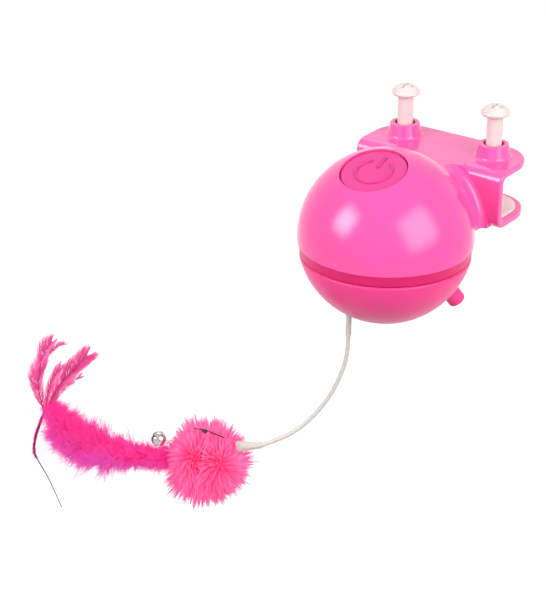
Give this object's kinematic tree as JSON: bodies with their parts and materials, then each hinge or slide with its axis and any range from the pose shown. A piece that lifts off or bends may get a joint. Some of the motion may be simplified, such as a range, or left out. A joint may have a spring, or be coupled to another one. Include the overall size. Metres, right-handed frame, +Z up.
{
  "type": "automatic cat laser toy",
  "caption": "Table clamp ball whose motorised lower half turns a laser and a springy wire with a plush and feather lure for a cat to chase.",
  "frame": {"origin": "on the top face of the grip pad, midway between the two clamp screws and under their line", "axes": "+Z up along the clamp screws, +Y out of the clamp's open side towards the table, +X to the right seen from the button side"},
  "size_m": [0.1991, 0.1727, 0.223],
  "materials": {
    "dome_gloss": "glossy moulded pink ABS",
    "band_magenta": "darker magenta moulded plastic",
    "button_pink": "satin pink plastic",
    "bowl_gloss": "glossy deeper pink plastic",
    "pad_foam": "light grey soft grip pad",
    "nylon_white": "milky white nylon",
    "wire_white": "white plastic sheath over spring wire",
    "sleeve_clear": "milky translucent sleeve",
    "plush_fur": "long pile pink plush",
    "thread_dark": "dark thread",
    "bell_chrome": "chromed sheet",
    "marabou_down": "dyed marabou down",
    "hackle": "dyed hackle feathers",
    "quill": "dark feather quill",
    "inner_black": "black moulded plastic",
    "inner_white": "white moulded plastic",
    "gear_white": "white acetal",
    "cell_sleeve": "plain dark cell sleeve",
    "contact_metal": "nickel plated spring steel",
    "steel": "plated steel",
    "brass": "brass",
    "board_green": "green circuit board",
    "lens_clear": "clear lens"
  },
  "bodies": {
    "housing": {"front_dome": "dome_gloss", "rear_housing": "dome_gloss", "chassis_plate": "band_magenta", "grip_pad": "pad_foam", "battery_box": "inner_black", "battery_cells": "cell_sleeve", "battery_contacts": "contact_metal", "battery_door": "dome_gloss", "door_screw": "steel", "circuit_board": "board_green", "tact_switch": "inner_black", "board_screws": "steel", "motor": "steel", "gear_axles": "steel", "gearbox_cover": "inner_white", "gearbox_screws": "steel", "shaft_bush": "brass", "brush_contacts": "contact_metal", "chassis_screws": "steel", "housing_screws": "steel"},
    "bowl": {"bowl_shell": "bowl_gloss", "laser_nozzle": "bowl_gloss", "laser_module": "brass", "laser_lens": "lens_clear", "wire_socket": "wire_white", "teaser_wire": "wire_white", "wire_connector": "sleeve_clear", "plush_ball": "plush_fur", "toy_thread": "thread_dark", "jingle_bell": "bell_chrome", "marabou_tail": "marabou_down", "hackle_feathers": "hackle", "quill_feather": "quill", "output_gear": "gear_white", "slip_rings": "brass", "turntable": "inner_white", "hub_screw": "steel"},
    "second_gear": {"second_gear": "gear_white"},
    "first_gear": {"first_gear": "gear_white"},
    "pinion": {"motor_pinion": "gear_white", "motor_shaft": "steel"},
    "button": {"power_button": "button_pink", "switch_plunger": "inner_black"},
    "left_screw": {"clamp_screw_left": "nylon_white"},
    "right_screw": {"clamp_screw_right": "nylon_white"}
  },
  "joints": [
    {"name": "bowl_spin", "type": "hinge", "parent": "housing", "child": "bowl", "pos_m": [0, -0.057, -0.0046], "axis": [0, 0, 1], "continuous": true},
    {"name": "second_gear_spin", "type": "hinge", "parent": "housing", "child": "second_gear", "pos_m": [-0.0095, -0.0666, -0.0046], "axis": [0, 0, 1], "continuous": true},
    {"name": "first_gear_spin", "type": "hinge", "parent": "housing", "child": "first_gear", "pos_m": [-0.01038, -0.07806, -0.0046], "axis": [0, 0, 1], "continuous": true},
    {"name": "pinion_spin", "type": "hinge", "parent": "housing", "child": "pinion", "pos_m": [0.00001, -0.08299, -0.0046], "axis": [0, 0, 1], "continuous": true},
    {"name": "power_button_press", "type": "slide", "parent": "housing", "child": "button", "axis": [0, 0.309, -0.9511], "range_m": [0, 0.001], "stiffness_N_per_m": 900},
    {"name": "clamp_screw_left_travel", "type": "slide", "parent": "housing", "child": "left_screw", "axis": [0, 0, -1], "range_m": [0, 0.015]},
    {"name": "clamp_screw_right_travel", "type": "slide", "parent": "housing", "child": "right_screw", "axis": [0, 0, -1], "range_m": [0, 0.015]}
  ],
  "couplings": [
    {"joint": "second_gear_spin", "follows": "bowl_spin", "ratio": -4.4},
    {"joint": "first_gear_spin", "follows": "bowl_spin", "ratio": 15.84},
    {"joint": "pinion_spin", "follows": "bowl_spin", "ratio": -57.024}
  ]
}
